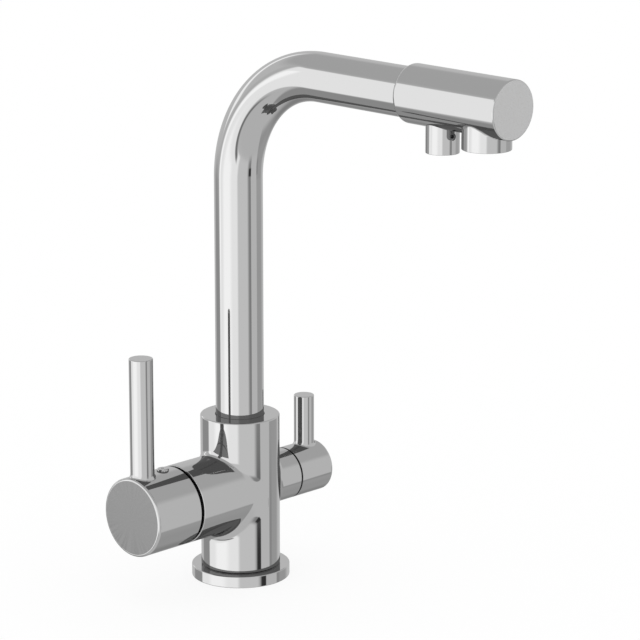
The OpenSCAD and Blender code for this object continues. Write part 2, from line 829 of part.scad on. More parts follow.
// Concentric rings on crossed webs, under a solid rim
module aerator_insert() {
    low = aerator_rim_z + aerator_web;
    color("white") translate([0, -aerator_y, 0]) {
        sleeve(insert_r, throat_r, low, thread_top_z);
        for (share = [0.25, 0.5, 0.75])
            sleeve(throat_r * share + aerator_web / 2, throat_r * share - aerator_web / 2,
                   low, low + aerator_lip);
        for (turn = [0, 90]) rotate(turn)
            translate([-throat_r, -aerator_web / 2, low]) cube([2 * throat_r, aerator_web, aerator_lip]);
    }
}

module aerator_washer() {
    color("dimgray") translate([0, -aerator_y, 0]) sleeve(thread_r, throat_r, thread_top_z, washer_top_z);
}

// The grub screw's frame: +Z runs outward from the nozzle's axis
module on_nozzle_screw() {
    translate([0, -nozzle_y, nozzle_screw_z]) rotate(-nozzle_screw_turn) rotate([90, 0, 0]) children();
}

module filter_nozzle() {
    color("gainsboro") difference() {
        translate([0, -nozzle_y, 0]) bar(nozzle_r, nozzle_rim_z, spout_z);
        on_head() bar(head_r, head_start, head_end);
        translate([0, -nozzle_y, 0]) {
            bar(nozzle_bore_r, nozzle_rim_z - over, spout_z);
            bar(nozzle_spigot_r, straightener_z, spout_z + over);
        }
        on_nozzle_screw() bar(nozzle_screw_r, nozzle_spigot_r - over, nozzle_r + over);
    }
}

// A disc with a ring of holes round a middle one
module flow_straightener() {
    hole_r = nozzle_bore_r / 4;
    color("white") translate([0, -nozzle_y, 0]) difference() {
        bar(nozzle_spigot_r, straightener_z, nozzle_spigot_z);
        bar(hole_r, straightener_z - over, nozzle_spigot_z + over);
        for (turn = [0:60:300]) rotate(turn) translate([nozzle_bore_r - hole_r * 1.4, 0, 0])
            bar(hole_r, straightener_z - over, nozzle_spigot_z + over);
    }
}

module nozzle_grub_screw() {
    color("gray") difference() {
        on_nozzle_screw() grub_screw(nozzle_screw_r, nozzle_spigot_r - over, nozzle_r - nozzle_screw_r / 4);
        translate([0, -nozzle_y, 0]) bar(nozzle_spigot_r, nozzle_spigot_z, spout_z);
    }
}

// The guide turns with the handle. Its slot lets the stem tilt up and down.
module cartridge_guide() {
    color("slategray") on_mixer_arm() difference() {
        union() {
            bar(guide_flange_r, guide_u, guide_top_u);
            bar(guide_r, guide_u, neck_end_u);
        }
        translate([-slot_w / 2, -stem_w / 2 - guide_gap, guide_u - over])
            cube([slot_w, stem_w + 2 * guide_gap, neck_end_u - guide_u + 2 * over]);
        pin_bar(pin_r, guide_r + over);
    }
}

// A bar through the tilt axis, to either side of the arm's axis
module pin_bar(r, half) {
    translate([0, 0, pivot_u]) rotate([90, 0, 0]) bar(r, -half, half);
}

module tilt_pin() {
    color("silver") on_mixer_arm() pin_bar(pin_r, guide_r - guide_gap);
}

// Inside the handle the stem is square and level. From the tilt pin inward it
// slopes down, so that its ball is low when the tap is shut.
module cartridge_stem() {
    slope_top = cap_floor_u - pivot_u;
    color("goldenrod") on_mixer_arm() difference() {
        union() {
            translate([-stem_w / 2, -stem_w / 2, pivot_u - stem_w / 2])
                cube([stem_w, stem_w, slope_top + stem_w / 2]);
            translate([-stem_head_w / 2, -stem_head_w / 2, cap_floor_u])
                cube([stem_head_w, stem_head_w, stem_head_len]);
            translate([0, 0, pivot_u]) rotate([0, stem_bend, 0]) {
                translate([-stem_w / 2, -stem_w / 2, ball_u + ball_neck_len])
                    cube([stem_w, stem_w, stem_reach - ball_neck_len + stem_w / 2]);
                bar(ball_neck_r, ball_u, ball_u + ball_neck_len + over);
                translate([0, 0, ball_u]) sphere(ball_r);
            }
        }
        pin_bar(pin_r + fit, stem_w);
    }
}

module cartridge_slide_disc() {
    color("white") on_mixer_arm() translate([driver_x, 0, 0]) difference() {
        bar(slide_disc_r, slide_u, driver_u);
        translate([port_down, 0, 0]) bar(slide_disc_r - port_down - port_r, slide_u - over, slide_u + channel_depth);
    }
}

module disc_driver() {
    color("slategray") on_mixer_arm() translate([driver_x, 0, 0]) difference() {
        bar(slide_disc_r, driver_u, driver_top_u);
        bar(driver_hole_r, ball_mid_u - ball_r - guide_gap, driver_top_u + over);
    }
}

module mixer_cap() {
    color("gainsboro") on_mixer_arm() difference() {
        round_ended(mixer_r, mixer_rim_u, mixer_face_u, mixer_cap_edge);
        difference() {
            bar(mixer_r + over, mixer_rim_u - over, mixer_rim_u + mixer_cap_rim);
            translate([0, 0, mixer_rim_u])
                cylinder(r1 = mixer_r - mixer_cap_rim, r2 = mixer_r, h = mixer_cap_rim);
        }
        bar(cap_bore_r, mixer_rim_u - over, cap_floor_u);
        translate([-stem_head_w / 2, -stem_head_w / 2, cap_floor_u - over])
            cube([stem_head_w, stem_head_w, stem_head_len + over]);
        upright(lever_screw_r, mixer_lever_u, mixer_r - mixer_screw_len, mixer_r + over);
        upright(grub_r, mixer_lever_u, -mixer_r - over, -stem_head_w / 2);
        upright(plug_r, plug_u, mixer_r - plug_seat, mixer_r + plug_h + over);
    }
}

// A lever rod on the crown of its cap, flared at the foot and cut to sit on it
module lever(r, cap_r, u, top, screw_len) {
    foot = cap_r * cos(asin((r + lever_flare) / cap_r)) - over;
    crown = cap_r + lever_flare / 4;
    translate([0, 0, u]) rotate([0, 90, 0]) {
        difference() {
            revolved(concat([[0, foot], [r + lever_flare, foot]],
                            arc([r + lever_flare, crown + lever_flare], lever_flare, 270, 180),
                            arc([r - lever_edge, top - lever_edge], lever_edge, 0, 90),
                            [[0, top]]));
            rotate([90, 0, 0]) rotate([0, 90, 0]) bar(cap_r, -2 * cap_r, 2 * cap_r);
        }
        bar(lever_screw_r, cap_r - screw_len, cap_r + over);
    }
}

module mixer_lever() {
    color("gainsboro") on_mixer_arm()
        lever(mixer_lever_r, mixer_r, mixer_lever_u, mixer_lever_h, mixer_screw_len);
}

module mixer_grub_screw() {
    color("gray") on_mixer_arm() translate([0, 0, mixer_lever_u]) rotate([0, -90, 0])
        grub_screw(grub_r, stem_head_w / 2, stem_head_w / 2 + mixer_grub_len);
}

module index_plug() {
    color("gainsboro") on_mixer_arm() translate([0, 0, plug_u]) rotate([0, 90, 0])
        round_ended(plug_r, mixer_r - plug_seat, mixer_r + plug_h, plug_h / 2);
}

module filter_cap() {
    color("gainsboro") on_filter_arm() difference() {
        round_ended(filter_r, filter_rim_u, filter_face_u, filter_cap_edge);
        difference() {
            bar(filter_r + over, filter_rim_u - over, filter_rim_u + filter_rim);
            translate([0, 0, filter_rim_u])
                cylinder(r1 = filter_r - filter_rim, r2 = filter_r, h = filter_rim);
        }
        bar(filter_bore_r, filter_rim_u - over, filter_floor_u);
        bar(spindle_head_r, filter_floor_u - over, filter_floor_u + spindle_head_len);
        upright(lever_screw_r, filter_lever_u, filter_r - filter_screw_len, filter_r + over);
        upright(grub_r, filter_lever_u, -filter_r - over, -spindle_head_r / 2);
    }
}

module filter_lever() {
    color("gainsboro") on_filter_arm()
        lever(filter_lever_r, filter_r, filter_lever_u, filter_lever_h, filter_screw_len);
}

module filter_grub_screw() {
    color("gray") on_filter_arm() difference() {
        translate([0, 0, filter_lever_u]) rotate([0, -90, 0])
            grub_screw(grub_r, spindle_head_r / 2, spindle_head_r + filter_grub_len);
        bar(spindle_head_r, filter_floor_u, filter_floor_u + spindle_head_len);
    }
}

body_casting();
base_ring();
base_gasket();
inlet_block();
spout_set_screw();
filter_pipe();
cartridge_seal();
cartridge_housing();
cartridge_fixed_disc();
cartridge_nut();
valve_seal();
valve_body();
valve_fixed_disc();
spout_tube();
spout_connector();
spout_seal_rings();
slip_washer();
filter_water_tube();
outlet_head();
head_end_cap();
aerator_housing();
aerator_insert();
aerator_washer();
filter_nozzle();
flow_straightener();
nozzle_grub_screw();
cartridge_guide();
tilt_pin();
cartridge_slide_disc();
disc_driver();
cartridge_stem();
mixer_cap();
mixer_lever();
mixer_grub_screw();
index_plug();
valve_turn_disc();
valve_spindle();
filter_cap();
filter_lever();
filter_grub_screw();
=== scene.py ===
import json
import math

import bpy
import numpy as np
from mathutils import Matrix, Vector


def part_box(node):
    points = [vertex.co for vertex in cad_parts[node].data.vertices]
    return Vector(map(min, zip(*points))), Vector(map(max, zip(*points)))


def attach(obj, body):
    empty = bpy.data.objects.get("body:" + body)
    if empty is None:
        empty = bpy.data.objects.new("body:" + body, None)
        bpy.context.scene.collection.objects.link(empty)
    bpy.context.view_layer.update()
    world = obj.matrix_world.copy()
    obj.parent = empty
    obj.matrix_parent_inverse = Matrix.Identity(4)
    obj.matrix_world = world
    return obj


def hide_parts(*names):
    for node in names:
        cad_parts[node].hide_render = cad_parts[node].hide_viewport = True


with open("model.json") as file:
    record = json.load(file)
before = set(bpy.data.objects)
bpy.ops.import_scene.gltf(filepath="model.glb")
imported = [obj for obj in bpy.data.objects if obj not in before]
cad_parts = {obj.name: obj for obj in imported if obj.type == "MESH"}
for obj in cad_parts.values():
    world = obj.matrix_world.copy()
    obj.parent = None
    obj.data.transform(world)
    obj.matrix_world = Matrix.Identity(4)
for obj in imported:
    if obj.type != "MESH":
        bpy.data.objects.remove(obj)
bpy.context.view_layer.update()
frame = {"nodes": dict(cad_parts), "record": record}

# Three way filtered water tap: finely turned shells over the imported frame, chrome
# and the other finishes, a pale floor and a camera at the photograph's angle.
MM = 0.001
DEGREE = math.pi / 180
HALF_TURN = 180

# Fineness of the meshes
ROUND_SIDES = 192
CAST_SIDES = 256
ARC_STEPS = 10
BEND_STEPS = 72
GRAIN = 0.6 * MM
OVER = 1 * MM
SMOOTH_ANGLE = 30 * DEGREE

# Sizes that the frame's boxes don't give
BEND_R = 66.3 * MM
SPOUT_GAP = 0.4 * MM
SPOUT_WALL = 1.5 * MM
COLUMN_EDGE = 0.8 * MM
FOOT_CHAMFER = 0.8 * MM
FOOT_WALL = 3.3 * MM
BASE_EDGE = 0.5 * MM
MIXER_RIM = 0.4 * MM
MIXER_LIP = 1.1 * MM
MIXER_RECESS = 9.5 * MM
SLEEVE_R = 16.4 * MM
NUT_R = 14.5 * MM
NUT_THREAD = 6 * MM
SLEEVE_BACK = 2.5 * MM
MIXER_CAP_EDGE = 1.5 * MM
MIXER_CAP_RIM = 1.5 * MM
CAP_WALL = 2.2 * MM
MIXER_HOLLOW = 17.8 * MM
FILTER_RIM = 0.3 * MM
FILTER_CAP_EDGE = 1.8 * MM
FILTER_HOLLOW = 9.5 * MM
VALVE_POCKET = 5 * MM
VALVE_POCKET_R = 11.85 * MM
LEVER_FLARE = 0.8 * MM
LEVER_EDGE = 0.5 * MM
GRUB_R = 2 * MM
SET_SCREW_R = 2.5 * MM
HEAD_WALL = 3.2 * MM
HEAD_EDGE = 0.8 * MM
NOZZLE_BORE_R = 4.6 * MM
NOZZLE_SPIGOT_R = 7.3 * MM
NOZZLE_SCREW_R = 2 * MM
NOZZLE_SCREW_DROP = 19.6 * MM
NOZZLE_SCREW_TURN = 11 * DEGREE
AERATOR_WEB = 0.9 * MM
AERATOR_LIP = 1.2 * MM
AERATOR_WALL = 1.1 * MM
AERATOR_BOSS_WALL = 1.8 * MM
AERATOR_COLLAR = 3.4 * MM
GASKET_W = 3.5 * MM
TINY_EDGE = 0.25 * MM

# Forms that the shells alone have: the fill of the seams, low under the mixer's arm and
# elsewhere, and at the aerator's boss; the head's start, set back and rounded; the
# spread and rise of a lever's foot, which is sunk a little; and the plug's dimple
BLEND_LOW = 6.5 * MM
BLEND_HIGH = 3 * MM
HEAD_BLEND = 0.8 * MM
HEAD_SET = 1.6 * MM
HEAD_ROUND = 2.3 * MM
FOOT_SPREAD = 1.1 * MM
FOOT_RISE = 2.2 * MM
FOOT_SINK = 0.05 * MM
DIMPLE_R = 1 * MM
DIMPLE_DEPTH = 0.5 * MM

# Tolerances of the mesh tools
WELD = 1e-7
NEAR = 0.005 * MM
FAR = 1.0
BLEND_PASSES = 8
SLOPE_STEP = 1e-4
# How far a face may lie from its true wall or fill, and the least cosine of its turn from it
WALL_SAG = 0.02 * MM
WALL_FACING = 0.97
FILL_SAG = 0.08 * MM
FILL_FACING = 0.9

# Camera, fitted to the photograph
IMAGE_PIXELS = 640
FOCAL_PIXELS = 3271.625
SENSOR = 36
CAMERA_AT = (-1.277107, -1.314409, 0.625506)
CAMERA_YAW = 44.365 * DEGREE
CAMERA_PITCH = 14.437 * DEGREE
NEAREST_SEEN = 0.1
FARTHEST_SEEN = 50

# What the metal sees in place of the photo's studio, in degrees of compass direction and
# height. Each panel is (start, its softness, end, its softness, foot, its softness, top, its
# softness, slant, display grey), and lies over those before it. They were set by
# comparing renders with the photo, and what each stands for is a guess.
ROOM_GREY = 176
PANELS = [
    # Table and ceiling
    (0, 1, 360, 1, -95, 1, -38, 10, 0, 172),
    (0, 1, 360, 1, 30, 12, 95, 1, 0, 157),
    # The table's dimmer parts, away from the lights
    (320, 3, 452, 16, -62, 24, -22, 8, 0, 142),
    (376, 30, 424, 20, -54, 14, -33, 8, 0, 122),
    (86, 6, 126, 8, -75, 16, -10, 8, 0, 134),
    # A light strip far behind the tap
    (60, 12, 106, 4, 9, 3, 17, 3, -0.6, 232),
    # The side wall and its edge
    (320, 3, 362, 20, -40, 10, -10, 8, 0, 146),
    (320, 3, 330, 6, -30, 6, -17, 2, 0, 132),
    # The paler wall round the camera
    (218, 10, 272, 16, -34, 8, 34, 8, 0, 187),
    # The large soft box, with its side, its brighter parts and the dark strip below it
    (112, 8, 124, 4, -12, 4, 30, 6, 0, 168),
    (122, 5, 221, 10, -33, 4, 29, 3, 0, 224),
    (148, 16, 188, 20, -21, 8, -6, 6, 0, 240),
    (125, 3, 132, 3, -14, 2, 16, 4, 0, 242),
    (148, 20, 208, 10, -37, 4, -31, 3, 0.2, 108),
    # The dark card and its core
    (272, 14, 286.5, 1.5, -36, 14, 4, 14, 0, 122),
    (275, 6, 288, 3, -26, 3, -17.4, 2.4, 0, 45),
]
# Share of the panels' light that is left in metal seen in metal, and the depth of such a ray
SECOND_LOOK = 0.24
SECOND_DEPTH = 1.5

# Share of the light that the chrome gives back
CHROME = 0.8

# The floor, just under the base, and how much of it the camera sees as plain white
FLOOR_HALF = 3
FLOOR_GAP = 0.02 * MM
FLOOR_WHITE = 0.85

# Noise in the finishes: (detail, roughness) of the slow and the fine one, and the range
# that most of the fine one keeps to
SLOW_NOISE = (1.0, 0.4)
FINE_NOISE = (3.0, 0.6)
NOISE_RANGE = (0.3, 0.7)


def unit(v):
    return v / np.linalg.norm(v)


# Sizes and places that the frame gives, in metres
CAST_LO, CAST_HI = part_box("body_casting")
RING_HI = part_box("base_ring")[1]
TUBE_LO, TUBE_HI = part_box("spout_tube")
MIX_LO, MIX_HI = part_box("mixer_cap")
FIL_LO, FIL_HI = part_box("filter_cap")
HEAD_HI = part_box("outlet_head")[1]
END_LO, END_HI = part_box("head_end_cap")
AER_LO, AER_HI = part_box("aerator_housing")
NOZ_LO, NOZ_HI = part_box("filter_nozzle")
COLUMN_R = CAST_HI.y
COLUMN_H = CAST_HI.z
BLOCK_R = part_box("inlet_block")[1].y
BLOCK_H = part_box("inlet_block")[1].z
SPIGOT_R = BLOCK_R + FOOT_WALL
SOCKET_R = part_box("spout_connector")[1].x
TUBE_R = TUBE_HI.x
TUBE_FOOT = TUBE_LO.z
SPOUT_Z = TUBE_HI.z - TUBE_R
TUBE_END = -TUBE_LO.y
WASHER_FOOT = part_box("slip_washer")[0].z
CONNECTOR_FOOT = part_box("spout_connector")[0].z
ARM_Z = (MIX_LO.z + MIX_HI.z) / 2
MIXER_R = (MIX_HI.y - MIX_LO.y) / 2
MIXER_END = -CAST_LO.x
MIXER_GAP_END = -MIX_HI.x
MIXER_FACE = -MIX_LO.x
FILTER_R = (FIL_HI.y - FIL_LO.y) / 2
FILTER_END = CAST_HI.x
FILTER_GAP_END = FIL_LO.x
FILTER_FACE = FIL_HI.x
HEAD_R = HEAD_HI.x
HEAD_START = -HEAD_HI.y
CAP_START = -END_HI.y
HEAD_END = -END_LO.y
AERATOR_R = AER_HI.x
AERATOR_Y = (AER_LO.y + AER_HI.y) / 2
NOZZLE_R = NOZ_HI.x
NOZZLE_Y = (NOZ_LO.y + NOZ_HI.y) / 2

# Frames with +Z out along an arm or the head, or straight up
UP = Matrix.Identity(4)
ON_MIXER = Matrix(((0, 0, -1, 0), (0, 1, 0, 0), (1, 0, 0, ARM_Z), (0, 0, 0, 1)))
ON_FILTER = Matrix(((0, 0, 1, 0), (0, -1, 0, 0), (1, 0, 0, ARM_Z), (0, 0, 0, 1)))
ON_HEAD = Matrix(((1, 0, 0, 0), (0, 0, -1, 0), (0, 1, 0, SPOUT_Z), (0, 0, 0, 1)))


# Mesh tools
def welded(points):
    """For each point the number of the first point at its place, and the places."""
    keys = np.round(points / WELD).astype(np.int64)
    _, first, index = np.unique(keys, axis=0, return_index=True, return_inverse=True)
    return index.reshape(-1), points[first]


def piece_of(name, grids, place=UP):
    """A closed mesh from grids. A grid is (points, normals), each rings by sides by 3,
    and its rings close round. Rings at the same place are welded."""
    points = np.concatenate([g[0].reshape(-1, 3) for g in grids])
    normals = np.concatenate([g[1].reshape(-1, 3) for g in grids])
    quads, offset = [], 0
    for ring_points, _ in grids:
        rings, sides, _ = ring_points.shape
        index = offset + np.arange(rings * sides).reshape(rings, sides)
        right = np.roll(index, -1, axis=1)
        quads.append(np.stack((index[:-1], right[:-1], right[1:], index[1:]), -1).reshape(-1, 4))
        offset += rings * sides
    frame_of = np.array(place)
    points = points @ frame_of[:3, :3].T + frame_of[:3, 3]
    normals = normals @ frame_of[:3, :3].T
    index, places = welded(points)
    faces, corner_normals = [], []
    for quad in np.concatenate(quads).tolist():
        kept = [q for k, q in enumerate(quad) if index[q] != index[quad[k - 1]]]
        if len(kept) > 2:
            faces.append([int(index[q]) for q in kept])
            corner_normals += [tuple(normals[q]) for q in kept]
    mesh = bpy.data.meshes.new(name)
    mesh.from_pydata(places.tolist(), [], faces)
    mesh.shade_smooth()
    mesh.normals_split_custom_set(corner_normals)
    piece = bpy.data.objects.new(name, mesh)
    bpy.context.scene.collection.objects.link(piece)
    return piece


def outline_runs(corners, ring, grain):
    """The corners (radius, height, rounding) of a turned outline, walked with the metal
    on the left, as straight runs (start, normal, end, normal)."""
    places = [np.array(c[:2], float) for c in corners]
    count = len(corners)
    arcs = []
    for i, here in enumerate(places):
        rounding = corners[i][2] if len(corners[i]) > 2 else 0
        if rounding == 0:
            arcs.append([(here, None)])
            continue
        inward = unit(here - places[i - 1])
        onward = unit(places[(i + 1) % count] - here)
        turn = math.atan2(inward[0] * onward[1] - inward[1] * onward[0], inward @ onward)
        side = math.copysign(1, turn)
        start = here - inward * rounding * math.tan(abs(turn) / 2)
        spoke = side * rounding * np.array((inward[1], -inward[0]))
        arc = []
        for k in range(ARC_STEPS + 1):
            c, s = math.cos(turn * k / ARC_STEPS), math.sin(turn * k / ARC_STEPS)
            swung = np.array((c * spoke[0] - s * spoke[1], s * spoke[0] + c * spoke[1]))
            arc.append((start - spoke + swung, side * swung / rounding))
        arcs.append(arc)
    runs = []
    for i in range(count if ring else count - 1):
        runs += [(*a, *b) for a, b in zip(arcs[i], arcs[i][1:])]
        start, end = arcs[i][-1][0], arcs[(i + 1) % count][0][0]
        length = np.linalg.norm(end - start)
        if length < WELD:
            continue
        normal = np.array((end[1] - start[1], start[0] - end[0])) / length
        pieces = max(1, math.ceil(length / grain)) if grain else 1
        stops = [start + (end - start) * k / pieces for k in range(pieces + 1)]
        runs += [(a, normal, b, normal) for a, b in zip(stops, stops[1:])]
    return runs


def turned(name, corners, place=UP, ring=False, grain=None, sides=ROUND_SIDES):
    """A turned piece from its outline. The outline of a ring closes on itself."""
    angle = np.arange(sides) * 2 * math.pi / sides
    cos, sin = np.cos(angle), np.sin(angle)
    grids = []
    for a, normal_a, b, normal_b in outline_runs(corners, ring, grain):
        points = np.array([np.stack((r * cos, r * sin, np.full(sides, h)), -1) for r, h in (a, b)])
        normals = np.array([np.stack((r * cos, r * sin, np.full(sides, h)), -1)
                            for r, h in (normal_a, normal_b)])
        grids.append((points, normals))
    return piece_of(name, grids, place)


def bar(r, low, high, place=UP, at=(0, 0), grain=None):
    """A plain round solid, as a tool for carving."""
    return turned("Tool", [(0, low), (r, low), (r, high), (0, high)],
                  place @ Matrix.Translation((*at, 0)), grain=grain)


def carve(base, tool, how="DIFFERENCE"):
    """Cuts the tool away from the base, or joins it on, and deletes the tool."""
    modifier = base.modifiers.new("Carve", "BOOLEAN")
    modifier.operation = how
    modifier.solver = "EXACT"
    modifier.object = tool
    shape = base.evaluated_get(bpy.context.evaluated_depsgraph_get())
    base.data = bpy.data.meshes.new_from_object(shape)
    base.modifiers.clear()
    bpy.data.objects.remove(tool)


def wall(place, r, start, end, at=(0, 0)):
    """A round wall for the normals: its frame, radius and the heights between which it runs."""
    return np.array(place @ Matrix.Translation((*at, 0))), r, start, end


def wall_field(one, points):
    """Distance of the points to the wall, its direction, and the points' heights."""
    frame_of, r, _, _ = one
    local = (points - frame_of[:3, 3]) @ frame_of[:3, :3]
    across = local.copy()
    across[:, 2] = 0
    reach = np.maximum(np.linalg.norm(across, axis=1), WELD)
    return reach - r, (across / reach[:, None]) @ frame_of[:3, :3].T, local[:, 2]


def blend_field(walls, blend, points):
    """Distance of the points to the joined walls, whose seams are filled, its direction
    and how far each point is filled. blend is heights and the size of the fill there, for
    a right angle, and the last one holds all the way on the filter's side."""
    size = np.where(points[:, 0] < 0, np.interp(points[:, 2], *blend), blend[1][-1])
    distance = None
    slope = np.zeros_like(points)
    filled = np.zeros(len(points))
    for one in walls:
        own, own_slope, height = wall_field(one, points)
        own = np.where((height < one[2]) | (height > one[3]), FAR, own)
        if distance is None:
            distance, slope = own, own_slope
            continue
        crossing = np.sqrt(np.clip(1 - np.sum(slope * own_slope, axis=1) ** 2, 0, 1))
        width = np.maximum(size * crossing, WELD)
        share = np.clip(1 - np.abs(distance - own) / width, 0, 1) * (np.maximum(distance, own) < FAR)
        nearer = (own < distance)[:, None]
        low, high = np.where(nearer, own_slope, slope), np.where(nearer, slope, own_slope)
        distance = np.minimum(distance, own) - share ** 2 * width / 4
        slope = low + (high - low) * share[:, None] / 2
        filled = np.maximum(filled, share)
    return distance, slope / np.maximum(np.linalg.norm(slope, axis=1), WELD)[:, None], filled


def dressed(piece, walls, blend=None):
    """Fills the seams of a carved piece's walls, and gives its walls their true normals."""
    split = piece.modifiers.new("Triangles", "TRIANGULATE")
    split.quad_method = "BEAUTY"
    shape = piece.evaluated_get(bpy.context.evaluated_depsgraph_get())
    mesh = piece.data = bpy.data.meshes.new_from_object(shape)
    piece.modifiers.clear()
    places = np.zeros(len(mesh.vertices) * 3)
    mesh.vertices.foreach_get("co", places)
    places = places.reshape(-1, 3)
    if blend:
        on_wall = np.zeros(len(places), bool)
        for one in walls:
            distance, _, height = wall_field(one, places)
            on_wall |= (np.abs(distance) < NEAR) & (height > one[2]) & (height < one[3] + NEAR)
        _, _, filled = blend_field(walls, blend, places)
        moving = on_wall & (filled > 0)
        for _ in range(BLEND_PASSES):
            distance, slope, _ = blend_field(walls, blend, places[moving])
            places[moving] -= distance[:, None] * slope
        mesh.vertices.foreach_set("co", places.reshape(-1))
        mesh.update()
    mesh.shade_smooth()
    mesh.set_sharp_from_angle(angle=SMOOTH_ANGLE)
    normals = np.array([c.vector for c in mesh.corner_normals])
    corner_point = np.zeros(len(mesh.loops), np.int32)
    mesh.loops.foreach_get("vertex_index", corner_point)
    corner_face = np.repeat(np.arange(len(mesh.polygons)), [len(p.loop_indices) for p in mesh.polygons])
    centres = np.array([p.center for p in mesh.polygons])
    facing = np.array([p.normal for p in mesh.polygons])
    for one in walls:
        distance, slope, height = wall_field(one, centres)
        sign = np.sign(np.sum(slope * facing, axis=1))
        true = np.abs(distance) < WALL_SAG
        true &= np.abs(np.sum(slope * facing, axis=1)) > WALL_FACING
        true &= (height > one[2]) & (height < one[3])
        chosen = true[corner_face]
        _, slope, _ = wall_field(one, places[corner_point[chosen]])
        normals[chosen] = slope * sign[corner_face[chosen]][:, None]
    if blend:
        distance, slope, filled = blend_field(walls, blend, centres)
        true = (np.abs(distance) < FILL_SAG) & (filled > 0)
        true &= np.sum(slope * facing, axis=1) > FILL_FACING
        chosen = true[corner_face]
        _, slope, _ = blend_field(walls, blend, places[corner_point[chosen]])
        normals[chosen] = slope
    mesh.normals_split_custom_set(normals.tolist())


# Pieces of the tap
def casting():
    """The column with its two arms, whose seams are blended, and its mouths."""
    column = turned("body_casting_shell", [
        (0, 0), (SPIGOT_R, 0), (SPIGOT_R, RING_HI.z), (COLUMN_R - FOOT_CHAMFER, RING_HI.z),
        (COLUMN_R, RING_HI.z + FOOT_CHAMFER), (COLUMN_R, COLUMN_H, COLUMN_EDGE), (0, COLUMN_H)],
        grain=GRAIN, sides=CAST_SIDES)
    for r, end, rim, place in ((MIXER_R, MIXER_END, MIXER_RIM, ON_MIXER),
                               (FILTER_R, FILTER_END, FILTER_RIM, ON_FILTER)):
        arm = turned("Arm", [(0, 0), (r, 0), (r, end - rim), (r - rim, end), (0, end)],
                     place, grain=GRAIN, sides=CAST_SIDES)
        carve(column, arm, "UNION")
    carve(column, bar(BLOCK_R, -OVER, BLOCK_H))
    carve(column, turned("Tool", [
        (0, CONNECTOR_FOOT), (SOCKET_R, CONNECTOR_FOOT), (SOCKET_R, WASHER_FOOT),
        (TUBE_R + SPOUT_GAP, WASHER_FOOT), (TUBE_R + SPOUT_GAP, COLUMN_H + OVER),
        (0, COLUMN_H + OVER)]))
    sleeve_end = MIXER_END - SLEEVE_BACK
    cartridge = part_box("cartridge_seal")
    carve(column, turned("Tool", [
        (0, -cartridge[1].x), (cartridge[1].y, -cartridge[1].x),
        (cartridge[1].y, sleeve_end - NUT_THREAD), (NUT_R, sleeve_end - NUT_THREAD),
        (NUT_R, sleeve_end), (SLEEVE_R, sleeve_end), (SLEEVE_R, MIXER_END - MIXER_RECESS),
        (MIXER_R - MIXER_LIP, MIXER_END - MIXER_RECESS), (MIXER_R - MIXER_LIP, MIXER_END + OVER),
        (0, MIXER_END + OVER)], ON_MIXER))
    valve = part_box("valve_seal")
    carve(column, turned("Tool", [
        (0, valve[0].x), (valve[1].y, valve[0].x), (valve[1].y, FILTER_END - VALVE_POCKET),
        (VALVE_POCKET_R, FILTER_END - VALVE_POCKET), (VALVE_POCKET_R, FILTER_END + OVER),
        (0, FILTER_END + OVER)], ON_FILTER))
    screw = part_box("spout_set_screw")
    height = (screw[0].z + screw[1].z) / 2
    to_back = Matrix.Translation((0, 0, height)) @ Matrix.Rotation(-math.pi / 2, 4, "X")
    carve(column, bar(SET_SCREW_R, screw[0].y, COLUMN_R + OVER, to_back))
    dressed(column, [
        wall(UP, COLUMN_R, 0, COLUMN_H - COLUMN_EDGE),
        wall(ON_MIXER, MIXER_R, 0, MIXER_END - MIXER_RIM),
        wall(ON_FILTER, FILTER_R, 0, FILTER_END - FILTER_RIM)],
        ((ARM_Z - MIXER_R / 2, ARM_Z + MIXER_R / 2), (BLEND_LOW, BLEND_HIGH)))
    return column


def base_ring():
    gasket_r, gasket_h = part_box("base_gasket")[1].x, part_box("base_gasket")[1].z
    return turned("base_ring_shell", [
        (SPIGOT_R, 0), (gasket_r - GASKET_W, 0), (gasket_r - GASKET_W, gasket_h), (gasket_r, gasket_h),
        (gasket_r, 0), (RING_HI.x, 0, BASE_EDGE), (RING_HI.x, RING_HI.z, BASE_EDGE),
        (SPIGOT_R, RING_HI.z)], ring=True)


def spout_tube():
    """The tube, straight up, round the bend and out to the head."""
    stations = [(0, 0, TUBE_FOOT, 0), (0, 0, SPOUT_Z - BEND_R, 0)]
    for k in range(1, BEND_STEPS + 1):
        a = math.pi / 2 * k / BEND_STEPS
        stations.append((0, -BEND_R * (1 - math.cos(a)), SPOUT_Z - BEND_R * (1 - math.sin(a)), a))
    stations.append((0, -TUBE_END, SPOUT_Z, math.pi / 2))
    theta = np.arange(ROUND_SIDES) * 2 * math.pi / ROUND_SIDES
    cos, sin = np.cos(theta), np.sin(theta)
    spokes = np.array([np.stack((cos, sin * math.cos(a), sin * math.sin(a)), -1)
                       for *_, a in stations])
    centres = np.array([s[:3] for s in stations])[:, None, :]
    outside = centres + TUBE_R * spokes
    inside = centres + (TUBE_R - SPOUT_WALL) * spokes
    down, out = np.zeros_like(spokes[:2]), np.zeros_like(spokes[:2])
    down[..., 2], out[..., 1] = -1, -1
    return piece_of("spout_tube_shell", [
        (outside, spokes), (inside[::-1], -spokes[::-1]),
        (np.array((inside[0], outside[0])), down), (np.array((outside[-1], inside[-1])), out)])


